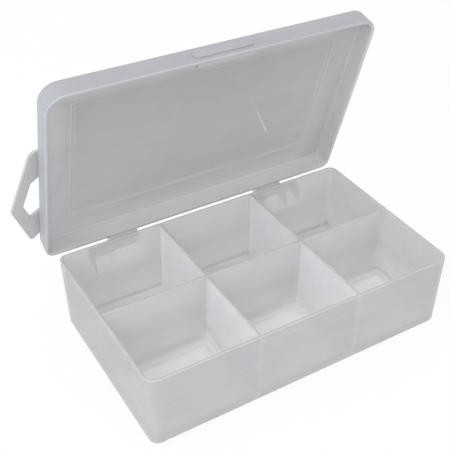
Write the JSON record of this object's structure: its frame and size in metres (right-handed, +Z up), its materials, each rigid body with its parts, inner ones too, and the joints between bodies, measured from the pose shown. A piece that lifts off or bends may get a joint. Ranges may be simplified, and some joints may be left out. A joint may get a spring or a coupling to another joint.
{
  "type": "compartment storage box",
  "caption": "Rectangular tray divided into compartments, with a pin-hinged lid and a swivelling hang tab with a slot.",
  "frame": {"origin": "centre of the tray's flat bottom", "axes": "+X along the tray, front wall faces -Y, hinges on the +Y side, +Z up"},
  "size_m": [0.1887, 0.1215, 0.1445],
  "materials": {
    "frosted_plastic": "frosted, translucent polypropylene",
    "grey_plastic": "fine matte texture",
    "pin_steel": "drawn wire"
  },
  "bodies": {
    "tray": {"storage_tray": "frosted_plastic", "hinge_pin_left": "pin_steel", "hinge_pin_right": "pin_steel"},
    "lid": {"lid": "frosted_plastic", "hang_tab_rivet": "grey_plastic"},
    "hang_tab": {"hang_tab": "grey_plastic"}
  },
  "joints": [
    {"name": "lid_hinge", "type": "hinge", "parent": "tray", "child": "lid", "pos_m": [0, 0.0588, 0.0323], "axis": [-1, 0, 0], "range_deg": [-73, 107]},
    {"name": "hang_tab_swivel", "type": "hinge", "parent": "lid", "child": "hang_tab", "pos_m": [-0.0815, 0.0524, 0.09633], "axis": [0, 0.9563, 0.2924], "continuous": true}
  ]
}
